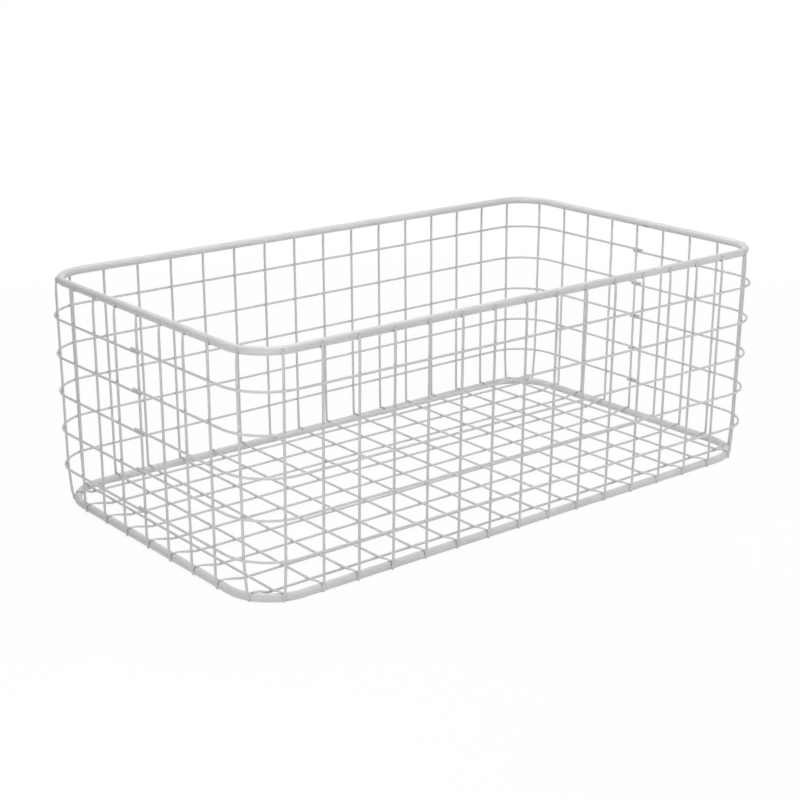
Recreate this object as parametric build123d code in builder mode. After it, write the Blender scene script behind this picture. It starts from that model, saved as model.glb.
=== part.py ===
from build123d import *

import os
from math import floor, sqrt

os.makedirs("parts", exist_ok=True)

# Wire locker basket of welded steel wire.
# Frame: +X along the length, +Z up, origin under the middle, on the plane the base ring stands on.
# All lengths are millimetres over the finished coating.

# Stock
rod_diameter = 6.0
wire_diameter = 1.9
weld_set_down = 0.1

# Rim, over the outside of the rod, and its corner at the rod's centre line
rim_length = 498.0
rim_width = 282.0
rim_corner_radius = 31.0

# Base ring, and how far its centre line lies inside the rim's
base_inset_at_ends = 0.5
base_inset_at_long_sides = 2.2
base_corner_radius = 36.0

# Heights between centre lines, from the rim down
rim_to_first_hoop = 26.5
hoop_pitch = 29.5
last_hoop_to_base = 28.0
hoop_count = 5

# Mesh, and the least distance of an upright from the rim's corner, along the rod's centre line
mesh_pitch = 30.0
least_corner_distance = 17.0

# Wire ends
upright_end_below_rim_top = 1.4
hoop_lap = 11.0
hoop_lap_clearance = 0.04
floor_end_past_ring_crest = 1.2

# Bends
upright_bend_radius = 12.0
floor_bend_radius = 10.0
floor_bend_run = 9.0
trim_allowance = 2.0

# Derived sizes
rod_radius = rod_diameter / 2
wire_radius = wire_diameter / 2
reach = rod_radius + wire_radius - weld_set_down
crossing = wire_diameter - weld_set_down

rim_half_length = rim_length / 2 - rod_radius
rim_half_width = rim_width / 2 - rod_radius
base_half_length = rim_half_length - base_inset_at_ends
base_half_width = rim_half_width - base_inset_at_long_sides

base_height = rod_radius
last_hoop_height = base_height + last_hoop_to_base
hoop_stack = hoop_pitch * (hoop_count - 1)
rim_height = last_hoop_height + hoop_stack + rim_to_first_hoop
upright_top = rim_height + rod_radius - upright_end_below_rim_top
long_wire_height = base_height + reach
cross_wire_height = long_wire_height + crossing


def wires_along(length):
    """How many wires a mesh pitch apart fit along a side."""
    return floor((length - least_corner_distance * 2) / mesh_pitch) + 1


long_side_uprights = wires_along(rim_half_length * 2)
end_uprights = wires_along(rim_half_width * 2)


def inward_lean(base_inset, height):
    """How far a wall stands inside the rim's wall at a height: it leans evenly down to the base."""
    return base_inset * (rim_height - height) / (rim_height - base_height)


def side_position(run, half_run, half_depth, radius):
    """Distance of a rounded rectangle's side from the middle, at a place along that side."""
    past_flat = max(abs(run) - (half_run - radius), 0)
    return half_depth - radius + sqrt(radius**2 - past_flat**2)


def station(index, count):
    """Place of one wire of an evenly spaced row about the middle."""
    return (index - (count - 1) / 2) * mesh_pitch


def round_wire(path, diameter):
    """Sweep a round section along the path, starting square to it."""
    with BuildSketch(Plane(origin=path @ 0, z_dir=path % 0)) as section:
        Circle(diameter / 2)
    sweep(sections=section.sketch, path=path)


# Rim and base ring

def ring_path(half_length, half_width, radius, height):
    with BuildSketch(Plane.XY.offset(height)) as outline:
        RectangleRounded(half_length * 2, half_width * 2, radius)
    return outline.sketch.face().outer_wire()


with BuildPart() as top_rim:
    round_wire(ring_path(rim_half_length, rim_half_width, rim_corner_radius, rim_height), rod_diameter)
top_rim.part.label = "top_rim"
export_step(top_rim.part, "parts/top_rim.step")

with BuildPart() as base_ring:
    round_wire(ring_path(base_half_length, base_half_width, base_corner_radius, base_height), rod_diameter)
base_ring.part.label = "base_ring"
export_step(base_ring.part, "parts/base_ring.step")


# Hoops: two like half hoops to a level, each one wire lower at its right end than at its left,
# so that they lie one above the other where they lap

for level in range(hoop_count):
    height = last_hoop_height + hoop_stack - level * hoop_pitch
    half_length = rim_half_length + reach + crossing - inward_lean(base_inset_at_ends, height)
    half_width = rim_half_width + reach + crossing - inward_lean(base_inset_at_long_sides, height)
    slope = (wire_radius + hoop_lap_clearance / 2) / half_length
    hoop_plane = Plane(origin=(0, 0, height), x_dir=(1, 0, -slope), z_dir=(slope, 0, 1))
    with BuildPart() as hoop:
        with BuildLine(hoop_plane) as front_half:
            FilletPolyline(
                (-half_length, hoop_lap / 2),
                (-half_length, -half_width),
                (half_length, -half_width),
                (half_length, hoop_lap / 2),
                radius=rim_corner_radius + reach + crossing,
            )
        round_wire(front_half.wire(), wire_diameter)
        front_solid = hoop.solid()
        with Locations(Rotation(0, 0, 180)):
            add(front_solid)
    hoop.part.label = f"hoop_{level + 1}"
    export_step(hoop.part, f"parts/hoop_{level + 1}.step")


# Uprights: outside the rim, inside the hoops, outside the base ring. One runs straight down the
# flat of a wall; one at a corner bends in below the last hoop, to the base ring's wider corner.

def upright_line(run, half_run, run_inset, half_depth, depth_inset):
    """Line of an upright at a place along its wall, as pairs of distance out and height."""
    corner = rim_corner_radius + reach
    rim_side = side_position(run, half_run + reach, half_depth + reach, corner)
    hoop_side = side_position(
        run,
        half_run + reach - inward_lean(run_inset, last_hoop_height),
        half_depth + reach - inward_lean(depth_inset, last_hoop_height),
        corner,
    )
    base_side = side_position(
        run,
        half_run + reach - run_inset,
        half_depth + reach - depth_inset,
        base_corner_radius + reach,
    )
    lean_above = (rim_side - hoop_side) / (rim_height - last_hoop_height)
    lean_below = (hoop_side - base_side) / (last_hoop_height - base_height)
    top = (rim_side + lean_above * (upright_top - rim_height), upright_top)
    bend = (hoop_side, last_hoop_height)
    foot = (base_side - lean_below * (base_height + trim_allowance), -trim_allowance)
    if abs(lean_below - lean_above) < wire_radius / rim_height:
        return [top, foot]
    return [top, bend, foot]


def upright_pair(corners, plane, mirror_plane):
    """Two like uprights on facing walls, their feet cut level with the base ring's underside."""
    with BuildPart() as pair:
        with BuildLine(plane) as line:
            if len(corners) > 2:
                FilletPolyline(*corners, radius=upright_bend_radius)
            else:
                Line(*corners)
        round_wire(line.wire(), wire_diameter)
        split(bisect_by=Plane.XY, keep=Keep.TOP)
        mirror(about=mirror_plane)
    return pair


for index in range(long_side_uprights):
    run = station(index, long_side_uprights)
    wall = Plane(origin=(run, 0, 0), x_dir=(0, 1, 0), z_dir=(1, 0, 0))
    corners = upright_line(
        run, rim_half_length, base_inset_at_ends, rim_half_width, base_inset_at_long_sides
    )
    long_pair = upright_pair(corners, wall, Plane.XZ)
    name = f"long_side_upright_pair_{index + 1:02d}"
    long_pair.part.label = name
    export_step(long_pair.part, f"parts/{name}.step")

for index in range(end_uprights):
    run = station(index, end_uprights)
    wall = Plane(origin=(0, run, 0), x_dir=(1, 0, 0), z_dir=(0, -1, 0))
    corners = upright_line(
        run, rim_half_width, base_inset_at_long_sides, rim_half_length, base_inset_at_ends
    )
    end_pair = upright_pair(corners, wall, Plane.YZ)
    name = f"end_upright_pair_{index + 1}"
    end_pair.part.label = name
    export_step(end_pair.part, f"parts/{name}.step")


# Floor: the long wires lie on the base ring, and the cross wires lie on them and bend down to it

for index in range(end_uprights):
    run = station(index, end_uprights)
    crest = side_position(run, base_half_width, base_half_length, base_corner_radius)
    tip = crest + floor_end_past_ring_crest
    with BuildPart() as long_wire:
        with BuildLine() as line:
            Line((-tip, run, long_wire_height), (tip, run, long_wire_height))
        round_wire(line.wire(), wire_diameter)
    name = f"floor_long_wire_{index + 1}"
    long_wire.part.label = name
    export_step(long_wire.part, f"parts/{name}.step")

floor_slope = crossing / floor_bend_run
crest_height = base_height + reach * sqrt(1 + floor_slope**2)
for index in range(long_side_uprights):
    run = station(index, long_side_uprights)
    crest = side_position(run, base_half_length, base_half_width, base_corner_radius)
    tip = crest + floor_end_past_ring_crest
    tip_height = crest_height - floor_slope * floor_end_past_ring_crest
    shoulder = crest - (cross_wire_height - crest_height) / floor_slope
    with BuildPart() as cross_wire:
        with BuildLine() as line:
            FilletPolyline(
                (run, -tip, tip_height),
                (run, -shoulder, cross_wire_height),
                (run, shoulder, cross_wire_height),
                (run, tip, tip_height),
                radius=floor_bend_radius,
            )
        round_wire(line.wire(), wire_diameter)
    name = f"floor_cross_wire_{index + 1:02d}"
    cross_wire.part.label = name
    export_step(cross_wire.part, f"parts/{name}.step")
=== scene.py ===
from math import cos, exp, pi, radians, sin, sqrt, tan

import bmesh
import bpy
from mathutils import Matrix, Quaternion, Vector, kdtree, noise


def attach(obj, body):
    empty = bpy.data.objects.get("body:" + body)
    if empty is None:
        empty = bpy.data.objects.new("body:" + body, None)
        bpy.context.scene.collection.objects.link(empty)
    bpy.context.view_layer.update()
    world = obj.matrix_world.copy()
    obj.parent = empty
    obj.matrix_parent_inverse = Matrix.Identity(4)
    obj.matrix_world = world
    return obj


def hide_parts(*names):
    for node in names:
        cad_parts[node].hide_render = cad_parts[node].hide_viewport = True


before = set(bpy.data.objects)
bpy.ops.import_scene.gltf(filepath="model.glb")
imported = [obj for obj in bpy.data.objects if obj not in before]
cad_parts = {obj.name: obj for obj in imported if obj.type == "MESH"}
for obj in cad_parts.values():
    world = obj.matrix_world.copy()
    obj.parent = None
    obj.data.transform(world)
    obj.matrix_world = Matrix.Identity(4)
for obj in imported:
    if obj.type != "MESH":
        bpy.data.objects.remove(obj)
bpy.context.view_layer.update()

# Wire locker basket of welded steel wire under a pale grey powder coat.
# Metres, +X along the length, +Z up, standing on the floor at zero.
mm = 0.001

# Stock, over the finished coating
rod_diameter = 6.0 * mm
wire_diameter = 1.9 * mm
weld_set_down = 0.1 * mm

# Rim, base ring and the mesh between them, as the frame has them
rim_length = 498.0 * mm
rim_width = 282.0 * mm
rim_corner_radius = 31.0 * mm
base_inset_at_ends = 0.5 * mm
base_inset_at_long_sides = 2.2 * mm
base_corner_radius = 36.0 * mm
rim_to_first_hoop = 26.5 * mm
hoop_pitch = 29.5 * mm
last_hoop_to_base = 28.0 * mm
hoop_count = 5
mesh_pitch = 30.0 * mm
long_side_uprights = 16
end_uprights = 9

# Wire ends and bends
upright_end_below_rim_top = 1.4 * mm
hoop_lap = 11.0 * mm
hoop_lap_clearance = 0.04 * mm
floor_end_past_ring_crest = 1.2 * mm
floor_clearance = 2.1 * mm
crank_inside_ring_crest = 1.5 * mm
crank_past_outer_crossing = 2.5 * mm
upright_bend_radius = 12.0 * mm
floor_bend_radius = 6.0 * mm

# Derived sizes
rod_radius = rod_diameter / 2
wire_radius = wire_diameter / 2
reach = rod_radius + wire_radius - weld_set_down
crossing = wire_diameter - weld_set_down
rim_half_length = rim_length / 2 - rod_radius
rim_half_width = rim_width / 2 - rod_radius
base_half_length = rim_half_length - base_inset_at_ends
base_half_width = rim_half_width - base_inset_at_long_sides
base_height = rod_radius
last_hoop_height = base_height + last_hoop_to_base
rim_height = last_hoop_height + hoop_pitch * (hoop_count - 1) + rim_to_first_hoop
upright_top = rim_height + rod_radius - upright_end_below_rim_top
on_ring_height = base_height + reach
long_wire_height = floor_clearance + wire_radius
cross_wire_height = long_wire_height + crossing

# How finely the wires are meshed
rod_sides = 36
wire_sides = 14
rod_step = 0.45 * mm
wire_step = 0.7 * mm
plain_steps = 9
weld_reach = 2.6 * mm

# A wire that starts nearer to upright than this, by the sine of the angle, has its rings set out from
# +X and not from the vertical
upright_limit = 0.1

# How deep a wire's rounded end is, as a share of its radius, and the turns of the rings it is made of
dome_share = 0.5
dome_turns = [radians(35), radians(62), radians(80)]

# How far a wire swells at a weld, and the rim at its butt weld, and how far along each swelling reaches
weld_swell = 0.05 * mm
weld_swell_reach = 1.1 * mm
butt_swell = 0.06 * mm
butt_swell_reach = 1.5 * mm

# The electrodes slant the end of a wire, and press its last run flat onto the rod
slant_slope = 0.8
slant_run = 3.0 * mm
pressed_run = 5.0 * mm
pressed_fade = 3.0 * mm
pressed_depth_share = 0.45
pressed_spread_share = 0.12

# The lenses of weld metal: how finely they are meshed, how many lumps there are to a radius and how
# high, and the stride of the lumps' noise from one weld to the next
lens_subdivisions = 2
lumps_per_radius = 1.3
lump_height_share = 0.16
lump_stride = 0.37

# The two welds of a lap, as shares of its length off its middle
lap_weld_shares = (-0.3, 0.3)

# The rim's butt weld: its place along the right end, and the pit left low on its inner side
butt_off_middle = -15.0 * mm
butt_pit_below_level = radians(38)
butt_pit_darkness = 0.8
butt_pit_half_length = 2.6 * mm
butt_pit_half_width = 1.1 * mm


# Lines of the wires

def station(index, count):
    """Place of one wire of an evenly spaced row about the middle."""
    return (index - (count - 1) / 2) * mesh_pitch


def inward_lean(base_inset, height):
    """How far a wall stands inside the rim's wall at a height."""
    return base_inset * (rim_height - height) / (rim_height - base_height)


def wall_at(run, half_run, half_depth, radius):
    """Distance out of a rounded rectangle's side at a place along it, and its outward normal there."""
    past_flat = max(abs(run) - (half_run - radius), 0)
    rise = sqrt(radius**2 - past_flat**2)
    along = past_flat / radius if run > 0 else -past_flat / radius
    return half_depth - radius + rise, Vector((along, rise / radius))


def bent_line(corners, radius=0.0, closed=False, step_length=wire_step):
    """Fine points along straight runs joined by arcs at the corners."""
    count = len(corners)
    points = []
    for index, corner in enumerate(corners):
        if not closed and index in (0, count - 1):
            points.append(corner.copy())
            continue
        back = (corners[index - 1] - corner).normalized()
        ahead = (corners[(index + 1) % count] - corner).normalized()
        turn = pi - back.angle(ahead)
        trim = radius * tan(turn / 2)
        centre = corner + (back + ahead).normalized() * (radius / cos(turn / 2))
        start = corner + back * trim - centre
        axis = start.cross(corner + ahead * trim - centre).normalized()
        steps = max(int(radius * turn / step_length), 2)
        for step in range(steps + 1):
            points.append(centre + Matrix.Rotation(turn * step / steps, 3, axis) @ start)
    if closed:
        points.append(points[0].copy())
    line = [points[0]]
    for start, end in zip(points, points[1:]):
        steps = max(round((end - start).length / step_length), 1)
        line += [start.lerp(end, (step + 1) / steps) for step in range(steps)]
    return line[:-1] if closed else line


def ring_line(half_length, half_width, radius, height):
    corners = [
        Vector((-half_length, -half_width, height)),
        Vector((half_length, -half_width, height)),
        Vector((half_length, half_width, height)),
        Vector((-half_length, half_width, height)),
    ]
    return bent_line(corners, radius, closed=True, step_length=rod_step)


def half_hoop_lines(level):
    """Two like half hoops, each a wire lower at its right end than at its left."""
    height = last_hoop_height + hoop_pitch * (hoop_count - 1 - level)
    half_length = rim_half_length + reach + crossing - inward_lean(base_inset_at_ends, height)
    half_width = rim_half_width + reach + crossing - inward_lean(base_inset_at_long_sides, height)
    drop = wire_radius + hoop_lap_clearance / 2
    front = bent_line(
        [
            Vector((-half_length, hoop_lap / 2, height + drop)),
            Vector((-half_length, -half_width, height + drop)),
            Vector((half_length, -half_width, height - drop)),
            Vector((half_length, hoop_lap / 2, height - drop)),
        ],
        rim_corner_radius + reach + crossing,
    )
    back = [Vector((-point.x, -point.y, point.z)) for point in front]
    return front, back


def upright_corners(run, half_run, run_inset, half_depth, depth_inset):
    """An upright's line at a place along its wall, as pairs of distance out and height."""
    corner = rim_corner_radius + reach
    rim_side, _ = wall_at(run, half_run + reach, half_depth + reach, corner)
    hoop_side, _ = wall_at(
        run,
        half_run + reach - inward_lean(run_inset, last_hoop_height),
        half_depth + reach - inward_lean(depth_inset, last_hoop_height),
        corner,
    )
    base_side, _ = wall_at(
        run,
        half_run + reach - run_inset,
        half_depth + reach - depth_inset,
        base_corner_radius + reach,
    )
    lean_above = (rim_side - hoop_side) / (rim_height - last_hoop_height)
    lean_below = (hoop_side - base_side) / (last_hoop_height - base_height)
    top = (rim_side + lean_above * (upright_top - rim_height), upright_top)
    bend = (hoop_side, last_hoop_height)
    foot = (base_side - lean_below * base_height, 0.0)
    if abs(lean_below - lean_above) < wire_radius / rim_height:
        return [top, foot]
    return [top, bend, foot]


def floor_corners(crest, outer_crossing, height):
    """A floor wire's line, as pairs of distance along and height: its ends are cranked up onto the base
    ring."""
    tip = crest + floor_end_past_ring_crest
    crank_top = crest - crank_inside_ring_crest
    crank_foot = outer_crossing + crank_past_outer_crossing
    half = [(tip, on_ring_height), (crank_top, on_ring_height), (crank_foot, height)]
    return [(-along, level) for along, level in half] + half[::-1]


def on_long_side(side):
    """Turns a place along, a distance out and a height into a point of the front or back wall."""
    return lambda run, out, height: Vector((run, side * out, height))


def on_end(side):
    """The same for the left or right end."""
    return lambda run, out, height: Vector((side * out, run, height))


# Every wall: its uprights' name and count, its two faces, its half sizes and insets at the rim, and
# the base ring's half sizes
walls = [
    (
        "long_side_upright_pair_{:02d}",
        long_side_uprights,
        on_long_side,
        (rim_half_length, base_inset_at_ends, rim_half_width, base_inset_at_long_sides),
        base_half_length,
        base_half_width,
    ),
    (
        "end_upright_pair_{}",
        end_uprights,
        on_end,
        (rim_half_width, base_inset_at_long_sides, rim_half_length, base_inset_at_ends),
        base_half_width,
        base_half_length,
    ),
]


# Welds: the point where two wires touch, the way through both, and the way along the first

def height_of_hoop(level):
    return last_hoop_height + hoop_pitch * (hoop_count - 1 - level)


def upright_welds():
    """Welds of the uprights to the rim, to each hoop and to the base ring."""
    found = {"rim": [], "hoops": [], "base": []}
    touch = wire_radius - weld_set_down / 2
    for _, count, face, sizes, _, _ in walls:
        half_run, run_inset, half_depth, depth_inset = sizes
        levels = [("rim", rim_height, rim_corner_radius + reach, -touch)]
        levels += [
            ("hoops", height_of_hoop(level), rim_corner_radius + reach, touch)
            for level in range(hoop_count)
        ]
        levels += [("base", base_height, base_corner_radius + reach, -touch)]
        for index in range(count):
            run = station(index, count)
            for group, height, radius, offset in levels:
                out, normal = wall_at(
                    run,
                    half_run + reach - inward_lean(run_inset, height),
                    half_depth + reach - inward_lean(depth_inset, height),
                    radius,
                )
                for side in (-1, 1):
                    place = face(side)
                    point = place(run + normal.x * offset, out + normal.y * offset, height)
                    through = place(normal.x, normal.y, 0.0)
                    found[group].append((point, through, Vector((0, 0, 1))))
    return found


def floor_welds():
    """Welds of the floor's wires to the base ring and to each other."""
    ring_touch = base_height + rod_radius - weld_set_down / 2
    wire_touch = long_wire_height + wire_radius - weld_set_down / 2
    up = Vector((0, 0, 1))
    on_ring = []
    crossings = []
    for _, count, face, _, half_run, half_depth in walls:
        for index in range(count):
            run = station(index, count)
            out, _ = wall_at(run, half_run, half_depth, base_corner_radius)
            for side in (-1, 1):
                place = face(side)
                on_ring.append((place(run, out, ring_touch), up, place(0.0, 1.0, 0.0)))
    for column in range(long_side_uprights):
        for row in range(end_uprights):
            point = Vector((station(column, long_side_uprights), station(row, end_uprights), wire_touch))
            crossings.append((point, up, Vector((0, 1, 0))))
    return on_ring, crossings


def lap_welds():
    """Two spots at each lap of two half hoops."""
    found = []
    for level in range(hoop_count):
        height = height_of_hoop(level)
        out = rim_half_length + reach + crossing - inward_lean(base_inset_at_ends, height)
        for side in (-1, 1):
            for share in lap_weld_shares:
                point = Vector((side * out, hoop_lap * share, height))
                found.append((point, Vector((0, 0, 1)), Vector((0, 1, 0))))
    return found


rim_butt = Vector((rim_half_length, butt_off_middle, rim_height))
pit_way = Vector((-cos(butt_pit_below_level), 0.0, -sin(butt_pit_below_level)))
rim_pit = rim_butt + pit_way * rod_radius

upright_spots = upright_welds()
ring_spots, crossing_spots = floor_welds()
lap_spots = lap_welds()


def eased(share):
    """A share between nothing and one, with a soft start and finish."""
    share = min(max(share, 0.0), 1.0)
    return share**2 * (3 - 2 * share)


def turned_round_rod(spot, angle):
    """A weld moved round its rod, up by a positive angle and down by a negative one."""
    point, through, along_way = spot
    rod_middle = point - through * (rod_radius - weld_set_down / 2)
    turned_through = through * cos(angle) + along_way * sin(angle)
    turned_along = along_way * cos(angle) - through * sin(angle)
    return rod_middle + turned_through * rod_radius, turned_through, turned_along


# How deep the painted crevice shade at each weld is comes from a noise along their row: its middle, its
# layer and its stride from one weld to the next. A weld down at the base ring or the floor keeps a share of
# it, and takes the rest from the stretches of deeper shade.
middle_shade_strength = 0.5
shade_noise_layer = 0.5
shade_noise_stride = (0.731, 0.417)
shade_kept_share = 0.5

# The painted crevice shade is deeper along two stretches of the base ring: the middle of each and how far
# it reaches
deeper_shade_stretches = [
    (Vector((-105.0 * mm, -base_half_width, base_height)), 85.0 * mm),
    (Vector((-base_half_length, 20.0 * mm, base_height)), 130.0 * mm),
]


def weld_shade_strength(number, point):
    """How deep the painted crevice shade at a weld is, from nothing to one: no two are alike, and it is
    deepest along the stretches of deeper shade.
    """
    on_row = Vector((number * shade_noise_stride[0], number * shade_noise_stride[1], shade_noise_layer))
    own = middle_shade_strength + noise.noise(on_row)
    if point.z > base_height + reach:
        return eased(own)
    stretch_shade = max(1 - ((point - middle).length / far) ** 2 for middle, far in deeper_shade_stretches)
    return eased(own * shade_kept_share + max(stretch_shade, 0.0))


# The painted crevice shade lies on the lower side of a weld to the rim and on the upper side of one to the
# base ring, turned round the rod, and the other side has none
rim_shade_turn = radians(-28)
base_shade_turn = radians(22)
rim_shade_spots = [turned_round_rod(spot, rim_shade_turn) for spot in upright_spots["rim"]]
base_shade_spots = [turned_round_rod(spot, base_shade_turn) for spot in upright_spots["base"]]

# The painted crevice shade at each kind of weld: how far it reaches along the first wire and off it, and
# how dark it is. The least shaded weld still has a share of it, and it fades out as this power of its
# reach.
least_crevice_share = 0.4
crevice_fade = 4
rim_crevice = (1.7 * mm, 1.0 * mm, 0.8)
base_crevice = (1.5 * mm, 1.0 * mm, 0.62)
floor_end_crevice = (2.0 * mm, 1.05 * mm, 0.5)
wire_crevice = (0.9 * mm, 0.9 * mm, 0.35)
lap_crevice = (3.0 * mm, 0.7 * mm, 0.12)
marked_spots = [(spot, rim_crevice) for spot in rim_shade_spots]
marked_spots += [(spot, base_crevice) for spot in base_shade_spots]
marked_spots += [(spot, floor_end_crevice) for spot in ring_spots]
marked_spots += [(spot, wire_crevice) for spot in upright_spots["hoops"] + crossing_spots]
marked_spots += [(spot, lap_crevice) for spot in lap_spots]

spot_tree = kdtree.KDTree(len(marked_spots))
for number, (spot, _) in enumerate(marked_spots):
    spot_tree.insert(spot[0], number)
spot_tree.balance()


def crevice(point):
    """How much painted crevice shade a point takes from the nearest weld, fading to nothing around it."""
    _, number, _ = spot_tree.find(point)
    (weld_point, _, along_way), (along, off, depth) = marked_spots[number]
    away = point - weld_point
    run = away.dot(along_way)
    side = sqrt(max(away.length_squared - run**2, 0.0))
    fade = exp(-((run / along) ** crevice_fade) - (side / off) ** crevice_fade)
    return depth * (least_crevice_share + weld_shade_strength(number, weld_point)) * fade


def butt_mark(point):
    """The long dark pit left where the rim's butt weld was ground flush, low on its inner side."""
    away = point - rim_pit
    along = (away.y / butt_pit_half_length) ** 2
    across = (away.x**2 + away.z**2) / butt_pit_half_width**2
    return butt_pit_darkness * exp(-along - across)


# Meshes

def useful_rings(line, radius, closed):
    """Keeps fine points near the welds and spaced ones between them."""
    kept = []
    last = len(line) - 1
    for index, point in enumerate(line):
        near_weld = spot_tree.find(point)[2] < radius + weld_reach
        near_butt = (point - rim_butt).length < rod_radius * 2
        at_end = not closed and index in (0, last)
        if near_weld or near_butt or at_end or index % plain_steps == 0:
            kept.append(index)
    return kept


def press_end(verts, place, outward_way, rod_way, radius, held_back):
    """Presses the end of a wire flat against its rod, which lies towards rod_way, and slants its cut."""
    for vert in verts:
        away = vert.co - place
        inside = -away.dot(outward_way)
        if inside > pressed_run + pressed_fade or away.length > (pressed_run + pressed_fade) * 2:
            continue
        across = away + outward_way * inside
        toward = across.dot(rod_way)
        slant = eased(1 - abs(inside) / slant_run)
        pressed = eased(1 - (inside - pressed_run) / pressed_fade)
        vert.co += outward_way * ((toward - held_back) * slant_slope * slant)
        vert.co += rod_way * ((radius - toward) * pressed_depth_share * pressed)
        vert.co += (across - rod_way * toward) * (pressed_spread_share * pressed)


def wire_rings(mesh, line, radius, sides, closed):
    """Makes the rings of a wire round its line, swollen a little at the welds, and gives them with the
    place and the way of each."""
    shade_and_pit_layer = mesh.verts.layers.float["weld"]
    cut_layer = mesh.verts.layers.float["cut"]
    count = len(line)
    spans = []
    for index in useful_rings(line, radius, closed):
        before = line[index - 1] if index > 0 or closed else line[index]
        after = line[(index + 1) % count] if index < count - 1 or closed else line[index]
        spans.append((line[index], (after - before).normalized()))
    first_way = spans[0][1]
    side_way = first_way.cross(Vector((0, 0, 1)))
    if side_way.length < upright_limit:
        side_way = first_way.cross(Vector((1, 0, 0)))
    side_way.normalize()
    rings = []
    for place, way in spans:
        side_way = (side_way - way * side_way.dot(way)).normalized()
        up_way = way.cross(side_way)
        weld = exp(-(((spot_tree.find(place)[2] - radius) / weld_swell_reach) ** 2))
        butt = exp(-(((place - rim_butt).length / butt_swell_reach) ** 2))
        ring_radius = radius + weld_swell * weld + butt_swell * butt
        ring = []
        for step in range(sides):
            angle = 2 * pi * step / sides
            around = side_way * cos(angle) + up_way * sin(angle)
            vert = mesh.verts.new(place + around * ring_radius)
            # Painted crevice shade near the welds, or the dark pit where the rim's butt weld was ground
            vert[shade_and_pit_layer] = max(crevice(vert.co), butt_mark(vert.co))
            vert[cut_layer] = 0.0
            ring.append(vert)
        rings.append(ring)
    return rings, spans


def skin_between(mesh, near_ring, far_ring):
    """Smooth faces from one ring to the next."""
    sides = len(near_ring)
    for step in range(sides):
        after = (step + 1) % sides
        corners = (near_ring[step], near_ring[after], far_ring[after], far_ring[step])
        mesh.faces.new(corners).smooth = True


def round_end(mesh, ring, place, outward_way, radius):
    """Rounds the end of a wire over from its last ring, which is drawn back for it."""
    shade_and_pit_layer = mesh.verts.layers.float["weld"]
    cut_layer = mesh.verts.layers.float["cut"]
    dome = radius * dome_share
    offsets = [vert.co - place for vert in ring]
    for vert in ring:
        vert.co -= outward_way * dome
    edge = ring
    for turn in dome_turns:
        narrower = []
        for vert, offset in zip(ring, offsets):
            made = mesh.verts.new(place + offset * cos(turn) - outward_way * dome * (1 - sin(turn)))
            made[shade_and_pit_layer] = vert[shade_and_pit_layer]
            made[cut_layer] = sin(turn)
            narrower.append(made)
        skin_between(mesh, edge, narrower)
        edge = narrower
    mesh.faces.new(edge).smooth = True


def add_wire(mesh, line, radius, sides, closed=False, rod_way=None, held_back=(0.0, 0.0)):
    """Sweeps a round wire along the line, with rounded ends, which are pressed onto a rod where one is
    given."""
    rings, spans = wire_rings(mesh, line, radius, sides, closed)
    for near_ring, far_ring in zip(rings, rings[1:]):
        skin_between(mesh, near_ring, far_ring)
    if closed:
        skin_between(mesh, rings[-1], rings[0])
        return
    for end, outward in ((0, -1), (-1, 1)):
        place, way = spans[end]
        round_end(mesh, rings[end], place, way * outward, radius)
    if rod_way is None:
        return
    made_here = [vert for vert in mesh.verts if not vert.tag]
    for end, outward in ((0, -1), (-1, 1)):
        place, way = spans[end]
        press_end(made_here, place, way * outward, rod_way, radius, held_back[end])
    for vert in made_here:
        vert.tag = True


def add_weld(mesh, spot, along, across, thick, number, lens_shade):
    """A small uneven lens of weld metal, filling the crevice between two wires and darkened with painted
    crevice shade.
    """
    point, through, along_way = spot
    across_way = through.cross(along_way).normalized()
    turned = Matrix((along_way * along, across_way * across, through * thick)).transposed()
    made = bmesh.ops.create_icosphere(mesh, subdivisions=lens_subdivisions, radius=1.0)
    shade_and_pit_layer = mesh.verts.layers.float["weld"]
    cut_layer = mesh.verts.layers.float["cut"]
    lumps_from = Vector((number, number * lump_stride, 0.0))
    for vert in made["verts"]:
        lump = noise.noise(vert.co * lumps_per_radius + lumps_from)
        vert.co = point + turned @ (vert.co * (1 + lump_height_share * lump))
        vert[shade_and_pit_layer] = lens_shade
        vert[cut_layer] = 0.0
        for face in vert.link_faces:
            face.smooth = True


def new_mesh():
    mesh = bmesh.new()
    mesh.verts.layers.float.new("weld")
    mesh.verts.layers.float.new("cut")
    return mesh


def finish_piece(name, mesh, material, nodes=()):
    """Turns the mesh into a piece of the basket with its material."""
    bmesh.ops.recalc_face_normals(mesh, faces=mesh.faces)
    data = bpy.data.meshes.new(name)
    mesh.to_mesh(data)
    mesh.free()
    data.materials.append(material)
    piece = bpy.data.objects.new(name, data)
    bpy.context.scene.collection.objects.link(piece)
    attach(piece, "root")
    if nodes:
        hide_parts(*nodes)
    return piece


# Materials

def linear(hex_colour):
    """An sRGB hex colour as linear red, green, blue and alpha."""
    channels = [int(hex_colour[start:start + 2], 16) / 255 for start in (1, 3, 5)]
    return [c / 12.92 if c <= 0.04045 else ((c + 0.055) / 1.055) ** 2.4 for c in channels] + [1.0]


def add_node(tree, kind, inputs=(), **settings):
    """Adds a node with its settings, its values and its links."""
    made = tree.nodes.new(kind)
    for name, value in settings.items():
        setattr(made, name, value)
    for socket, value in inputs:
        if isinstance(value, bpy.types.NodeSocket):
            tree.links.new(value, made.inputs[socket])
        else:
            made.inputs[socket].default_value = value
    return made


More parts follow.
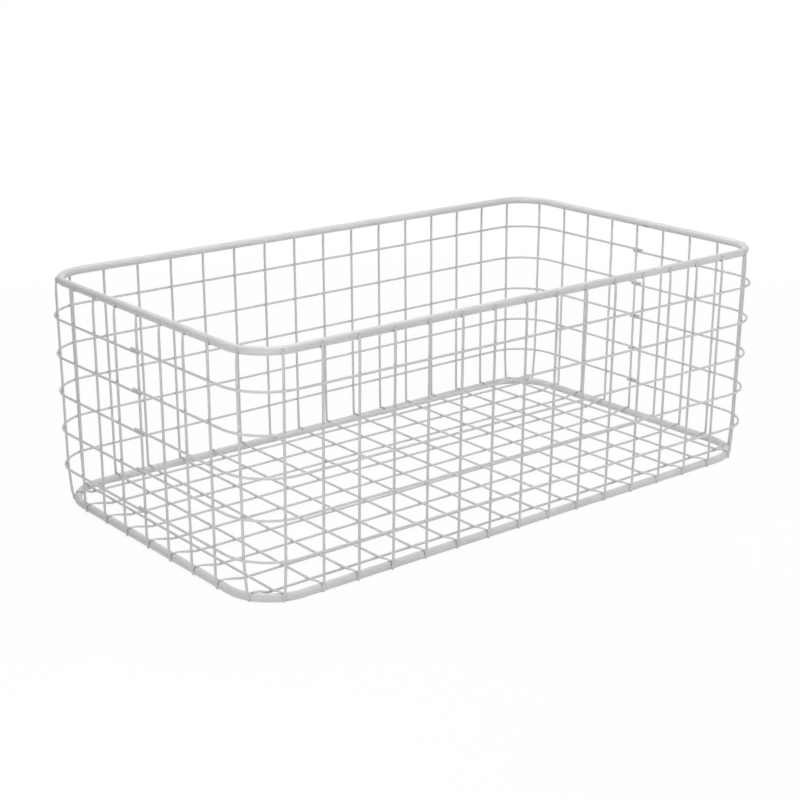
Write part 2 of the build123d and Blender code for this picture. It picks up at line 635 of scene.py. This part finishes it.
def powder_coated_steel(name, film, thick_film, crevice_shade_and_pit_tint, cut_tint, peel_width):
    """Polyester powder coat on cold drawn steel: a closed satin film with a faint orange peel. It pools
    a little paler and thicker in places, goes dull where it bridges a weld, takes painted crevice shade
    at the welds and the dark pit of the rim's butt weld, and is thin over a cut."""
    patch_width = 38 * mm
    grain_width = 1.6 * mm
    peel_depth = 0.05 * mm
    material = bpy.data.materials.new(name)
    material.use_nodes = True
    tree = material.node_tree
    tree.nodes.clear()
    place = add_node(tree, "ShaderNodeTexCoord").outputs["Object"]

    drift = add_node(tree, "ShaderNodeTexNoise", [
        ("Vector", place), ("Scale", 1 / patch_width), ("Detail", 3.0), ("Roughness", 0.55),
    ])
    grain = add_node(tree, "ShaderNodeTexNoise", [
        ("Vector", place), ("Scale", 1 / grain_width), ("Detail", 2.0), ("Roughness", 0.6),
    ])
    mottle = add_node(tree, "ShaderNodeMath", [(0, drift.outputs["Fac"]), (1, grain.outputs["Fac"])])
    pooled = add_node(tree, "ShaderNodeMapRange", [
        ("Value", mottle.outputs[0]),
        ("From Min", 0.75), ("From Max", 1.25), ("To Min", 0.0), ("To Max", 1.0),
    ])
    body = add_node(tree, "ShaderNodeMix", [
        ("Factor", pooled.outputs["Result"]), ("A", linear(film)), ("B", linear(thick_film)),
    ], data_type="RGBA")

    # Painted crevice shade at the welds and the dark pit of the rim's butt weld, read from the weld
    # attribute and broken up by the grain
    weld = add_node(tree, "ShaderNodeAttribute", attribute_name="weld").outputs["Fac"]
    broken = add_node(tree, "ShaderNodeMapRange", [
        ("Value", grain.outputs["Fac"]),
        ("From Min", 0.3), ("From Max", 0.7), ("To Min", 0.55), ("To Max", 1.0),
    ])
    shade_and_pit_mask = add_node(tree, "ShaderNodeMath", [
        (0, weld), (1, broken.outputs["Result"]),
    ], operation="MULTIPLY")
    with_shade_and_pit = add_node(tree, "ShaderNodeMix", [
        ("Factor", shade_and_pit_mask.outputs[0]), ("A", body.outputs["Result"]), ("B", linear(crevice_shade_and_pit_tint)),
    ], data_type="RGBA")

    cut = add_node(tree, "ShaderNodeAttribute", attribute_name="cut").outputs["Fac"]
    at_cuts = add_node(tree, "ShaderNodeMix", [
        ("Factor", cut), ("A", with_shade_and_pit.outputs["Result"]), ("B", linear(cut_tint)),
    ], data_type="RGBA")

    satin = add_node(tree, "ShaderNodeMapRange", [
        ("Value", grain.outputs["Fac"]),
        ("From Min", 0.3), ("From Max", 0.7), ("To Min", 0.36), ("To Max", 0.46),
    ])
    dulled = add_node(tree, "ShaderNodeMath", [
        (0, shade_and_pit_mask.outputs[0]), (1, 0.25), (2, satin.outputs["Result"]),
    ], operation="MULTIPLY_ADD")

    peel = add_node(tree, "ShaderNodeTexNoise", [
        ("Vector", place), ("Scale", 1 / peel_width), ("Detail", 1.0), ("Roughness", 0.4),
    ])
    dimpled = add_node(tree, "ShaderNodeBump", [
        ("Strength", 0.35), ("Distance", peel_depth), ("Height", peel.outputs["Fac"]),
    ])
    coat = add_node(tree, "ShaderNodeBsdfPrincipled", [
        ("Base Color", at_cuts.outputs["Result"]),
        ("Roughness", dulled.outputs[0]),
        ("IOR", 1.5),
        ("Normal", dimpled.outputs["Normal"]),
    ])
    add_node(tree, "ShaderNodeOutputMaterial", [("Surface", coat.outputs["BSDF"])])
    return material


# One coat for the whole basket, which pools a little more on the rods and peels wider on them
# The darkest grey is the painted crevice shade at the welds, also used for the rim's butt pit
coat_greys = {"film": "#C9C9C9", "crevice_shade_and_pit_tint": "#4C4C4C", "cut_tint": "#ABABAB"}
rod_finish = powder_coated_steel(
    "powder_coated_steel_rod", thick_film="#D3D3D3", peel_width=1.8 * mm, **coat_greys,
)
wire_finish = powder_coated_steel(
    "powder_coated_steel_wire", thick_film="#D2D2D2", peel_width=1.4 * mm, **coat_greys,
)


# Pieces

mesh = new_mesh()
add_wire(mesh, ring_line(rim_half_length, rim_half_width, rim_corner_radius, rim_height),
         rod_radius, rod_sides, closed=True)
finish_piece("top_rim_rod", mesh, rod_finish, ["top_rim"])

mesh = new_mesh()
add_wire(mesh, ring_line(base_half_length, base_half_width, base_corner_radius, base_height),
         rod_radius, rod_sides, closed=True)
finish_piece("base_ring_rod", mesh, rod_finish, ["base_ring"])

for level in range(hoop_count):
    mesh = new_mesh()
    for line in half_hoop_lines(level):
        add_wire(mesh, line, wire_radius, wire_sides)
    name = f"hoop_{level + 1}"
    finish_piece(f"{name}_wires", mesh, wire_finish, [name])

for pattern, count, face, sizes, _, _ in walls:
    for index in range(count):
        run = station(index, count)
        mesh = new_mesh()
        for side in (-1, 1):
            corners = [face(side)(run, out, height) for out, height in upright_corners(run, *sizes)]
            inwards = face(side)(0.0, -1.0, 0.0)
            add_wire(mesh, bent_line(corners, upright_bend_radius), wire_radius, wire_sides,
                     rod_way=inwards, held_back=(0.0, wire_radius))
        name = pattern.format(index + 1)
        finish_piece(f"{name}_wires", mesh, wire_finish, [name])

outer_long_side_upright = station(long_side_uprights - 1, long_side_uprights)
outer_end_upright = station(end_uprights - 1, end_uprights)


def floor_wire(name, corners):
    """One wire of the floor, its ends pressed down onto the base ring."""
    mesh = new_mesh()
    add_wire(mesh, bent_line(corners, floor_bend_radius), wire_radius, wire_sides,
             rod_way=Vector((0, 0, -1)))
    finish_piece(f"{name}_bar", mesh, wire_finish, [name])


for index in range(end_uprights):
    run = station(index, end_uprights)
    crest, _ = wall_at(run, base_half_width, base_half_length, base_corner_radius)
    line = floor_corners(crest, outer_long_side_upright, long_wire_height)
    corners = [Vector((along, run, height)) for along, height in line]
    floor_wire(f"floor_long_wire_{index + 1}", corners)

for index in range(long_side_uprights):
    run = station(index, long_side_uprights)
    crest, _ = wall_at(run, base_half_length, base_half_width, base_corner_radius)
    line = floor_corners(crest, outer_end_upright, cross_wire_height)
    corners = [Vector((run, across, height)) for across, height in line]
    floor_wire(f"floor_cross_wire_{index + 1:02d}", corners)

# Weld metal: how far each lens reaches along the first wire, across it and through both, and how deep the
# painted crevice shade is on the least and the most shaded ones
weld_groups = [
    ("rim_welds", rim_shade_spots, (1.8 * mm, 1.2 * mm, 0.3 * mm), (0.75, 1.0), rod_finish, "coated_rod"),
    ("hoop_welds", upright_spots["hoops"], (0.85 * mm, 0.85 * mm, 0.34 * mm), (0.2, 0.4), wire_finish,
     "coated_wire"),
    ("base_ring_welds", base_shade_spots, (1.5 * mm, 1.2 * mm, 0.3 * mm), (0.1, 1.0), rod_finish, "coated_rod"),
    ("floor_end_welds", ring_spots, (1.6 * mm, 0.8 * mm, 0.4 * mm), (0.1, 0.8), rod_finish, "coated_rod"),
    ("floor_mesh_welds", crossing_spots, (0.85 * mm, 0.85 * mm, 0.34 * mm), (0.2, 0.4), wire_finish,
     "coated_wire"),
    ("hoop_lap_welds", lap_spots, (1.9 * mm, 0.7 * mm, 0.3 * mm), (0.05, 0.15), wire_finish, "coated_wire"),
]
for name, spots, (along, across, thick), (least, most), finish, slot_name in weld_groups:
    mesh = new_mesh()
    for number, spot in enumerate(spots):
        # How deep the painted crevice shade on this lens is
        lens_shade = least + (most - least) * weld_shade_strength(number, spot[0])
        add_weld(mesh, spot, along, across, thick, number, lens_shade)
    finish_piece(name, mesh, finish)


# Floor, light and camera

paper_white = "#F8F8F8"
full_white = "#FFFFFF"


def seen_or_mirrored(tree):
    """One for what the camera and the coating's gloss see, and nothing for the light on the basket."""
    path = add_node(tree, "ShaderNodeLightPath")
    seen = add_node(tree, "ShaderNodeMath", [
        (0, path.outputs["Is Camera Ray"]), (1, path.outputs["Is Glossy Ray"]),
    ], operation="MAXIMUM")
    return seen.outputs[0]


def plain_paper(name, white_under, shade_from, shade_to):
    """Matt white paper. What the camera and the coating's gloss see is nearly full white under the
    basket, with the rest left to the real light, so that its shadow stays there, and full white further
    out."""
    material = bpy.data.materials.new(name)
    material.use_nodes = True
    tree = material.node_tree
    tree.nodes.clear()
    place = add_node(tree, "ShaderNodeTexCoord").outputs["Object"]
    away = add_node(tree, "ShaderNodeVectorMath", [(0, place)], operation="LENGTH").outputs["Value"]
    white = add_node(tree, "ShaderNodeMapRange", [
        ("Value", away),
        ("From Min", shade_from), ("From Max", shade_to), ("To Min", white_under), ("To Max", 1.0),
    ])
    share = add_node(tree, "ShaderNodeMath", [
        (0, seen_or_mirrored(tree)), (1, white.outputs["Result"]),
    ], operation="MULTIPLY")
    paper = add_node(tree, "ShaderNodeBsdfDiffuse", [("Color", linear(paper_white))])
    glow = add_node(tree, "ShaderNodeEmission", [("Color", linear(full_white)), ("Strength", 1.0)])
    both = add_node(tree, "ShaderNodeMixShader", [
        (0, share.outputs[0]), (1, paper.outputs[0]), (2, glow.outputs[0]),
    ])
    add_node(tree, "ShaderNodeOutputMaterial", [("Surface", both.outputs[0])])
    return material


floor_half = 20.0
floor_data = bpy.data.meshes.new("studio_floor")
floor_data.from_pydata(
    [(-floor_half, -floor_half, 0), (floor_half, -floor_half, 0),
     (floor_half, floor_half, 0), (-floor_half, floor_half, 0)],
    [],
    [(0, 1, 2, 3)],
)
floor_data.materials.append(
    plain_paper("matt_white_paper", white_under=0.93, shade_from=0.3, shade_to=0.9)
)
studio_floor = bpy.data.objects.new("studio_floor", floor_data)
bpy.context.scene.collection.objects.link(studio_floor)

fill_strength = 0.31
world = bpy.data.worlds.new("studio_surround")
bpy.context.scene.world = world
world.use_nodes = True
tree = world.node_tree
tree.nodes.clear()
fill_light = add_node(tree, "ShaderNodeBackground", [
    ("Color", linear(paper_white)), ("Strength", fill_strength),
])
white_surround = add_node(tree, "ShaderNodeBackground", [("Color", linear(full_white)), ("Strength", 1.0)])
both = add_node(tree, "ShaderNodeMixShader", [
    (0, seen_or_mirrored(tree)), (1, fill_light.outputs[0]), (2, white_surround.outputs[0]),
])
add_node(tree, "ShaderNodeOutputWorld", [("Surface", both.outputs[0])])


def softbox(name, place, aim, side, power):
    """A square lamp that lights the basket from its place and isn't seen itself."""
    data = bpy.data.lights.new(name, "AREA")
    data.shape = "SQUARE"
    data.size = side
    data.energy = power
    lamp = bpy.data.objects.new(name, data)
    lamp.location = place
    lamp.visible_camera = False
    lamp.rotation_mode = "QUATERNION"
    lamp.rotation_quaternion = (Vector(aim) - Vector(place)).to_track_quat("-Z", "Y")
    bpy.context.scene.collection.objects.link(lamp)


# Each softbox: where it stands, where it is aimed, its side and its watts
softbox("overhead_back_softbox", (0.55, 1.5, 2.85), (0.0, 0.0, 0.1), 1.8, 26.0)
softbox("over_left_softbox", (-0.25, -0.35, 0.75), (-0.1, -0.1, 0.1), 0.3, 1.1)
softbox("over_middle_softbox", (0.0, 0.0, 0.7), (0.2, 0.05, 0.12), 0.3, 1.6)
softbox("corner_softbox", (-0.75, -0.75, 0.3), (-0.2, -0.1, 0.1), 0.4, 0.88)
softbox("low_left_softbox", (-0.55, -0.32, 0.19), (0.0, 0.0, 0.08), 0.3, 0.38)
softbox("low_right_softbox", (0.41, -0.49, 0.19), (0.0, 0.0, 0.08), 0.3, 0.55)

# The camera stands at the near left corner, a little above the rim. Its film width and focal length
# are in Blender's own millimetres.
camera_azimuth = radians(-39.134)
camera_elevation = radians(17.917)
camera_roll = radians(0.13)
camera_distance = 1.24
looked_at = Vector((-0.0532, -0.046, 0.0849))
camera_film_width = 36.0
camera_focal_length = 74.07
camera_data = bpy.data.cameras.new("photo_camera")
camera_data.sensor_width = camera_film_width
camera_data.lens = camera_focal_length
backward = Vector((
    sin(camera_azimuth) * cos(camera_elevation),
    -cos(camera_azimuth) * cos(camera_elevation),
    sin(camera_elevation),
))
camera = bpy.data.objects.new("photo_camera", camera_data)
camera.location = looked_at + backward * camera_distance
camera.rotation_mode = "QUATERNION"
camera.rotation_quaternion = (-backward).to_track_quat("-Z", "Y") @ Quaternion((0, 0, 1), camera_roll)
bpy.context.scene.collection.objects.link(camera)
bpy.context.scene.camera = camera
bpy.context.scene.view_settings.view_transform = "Standard"
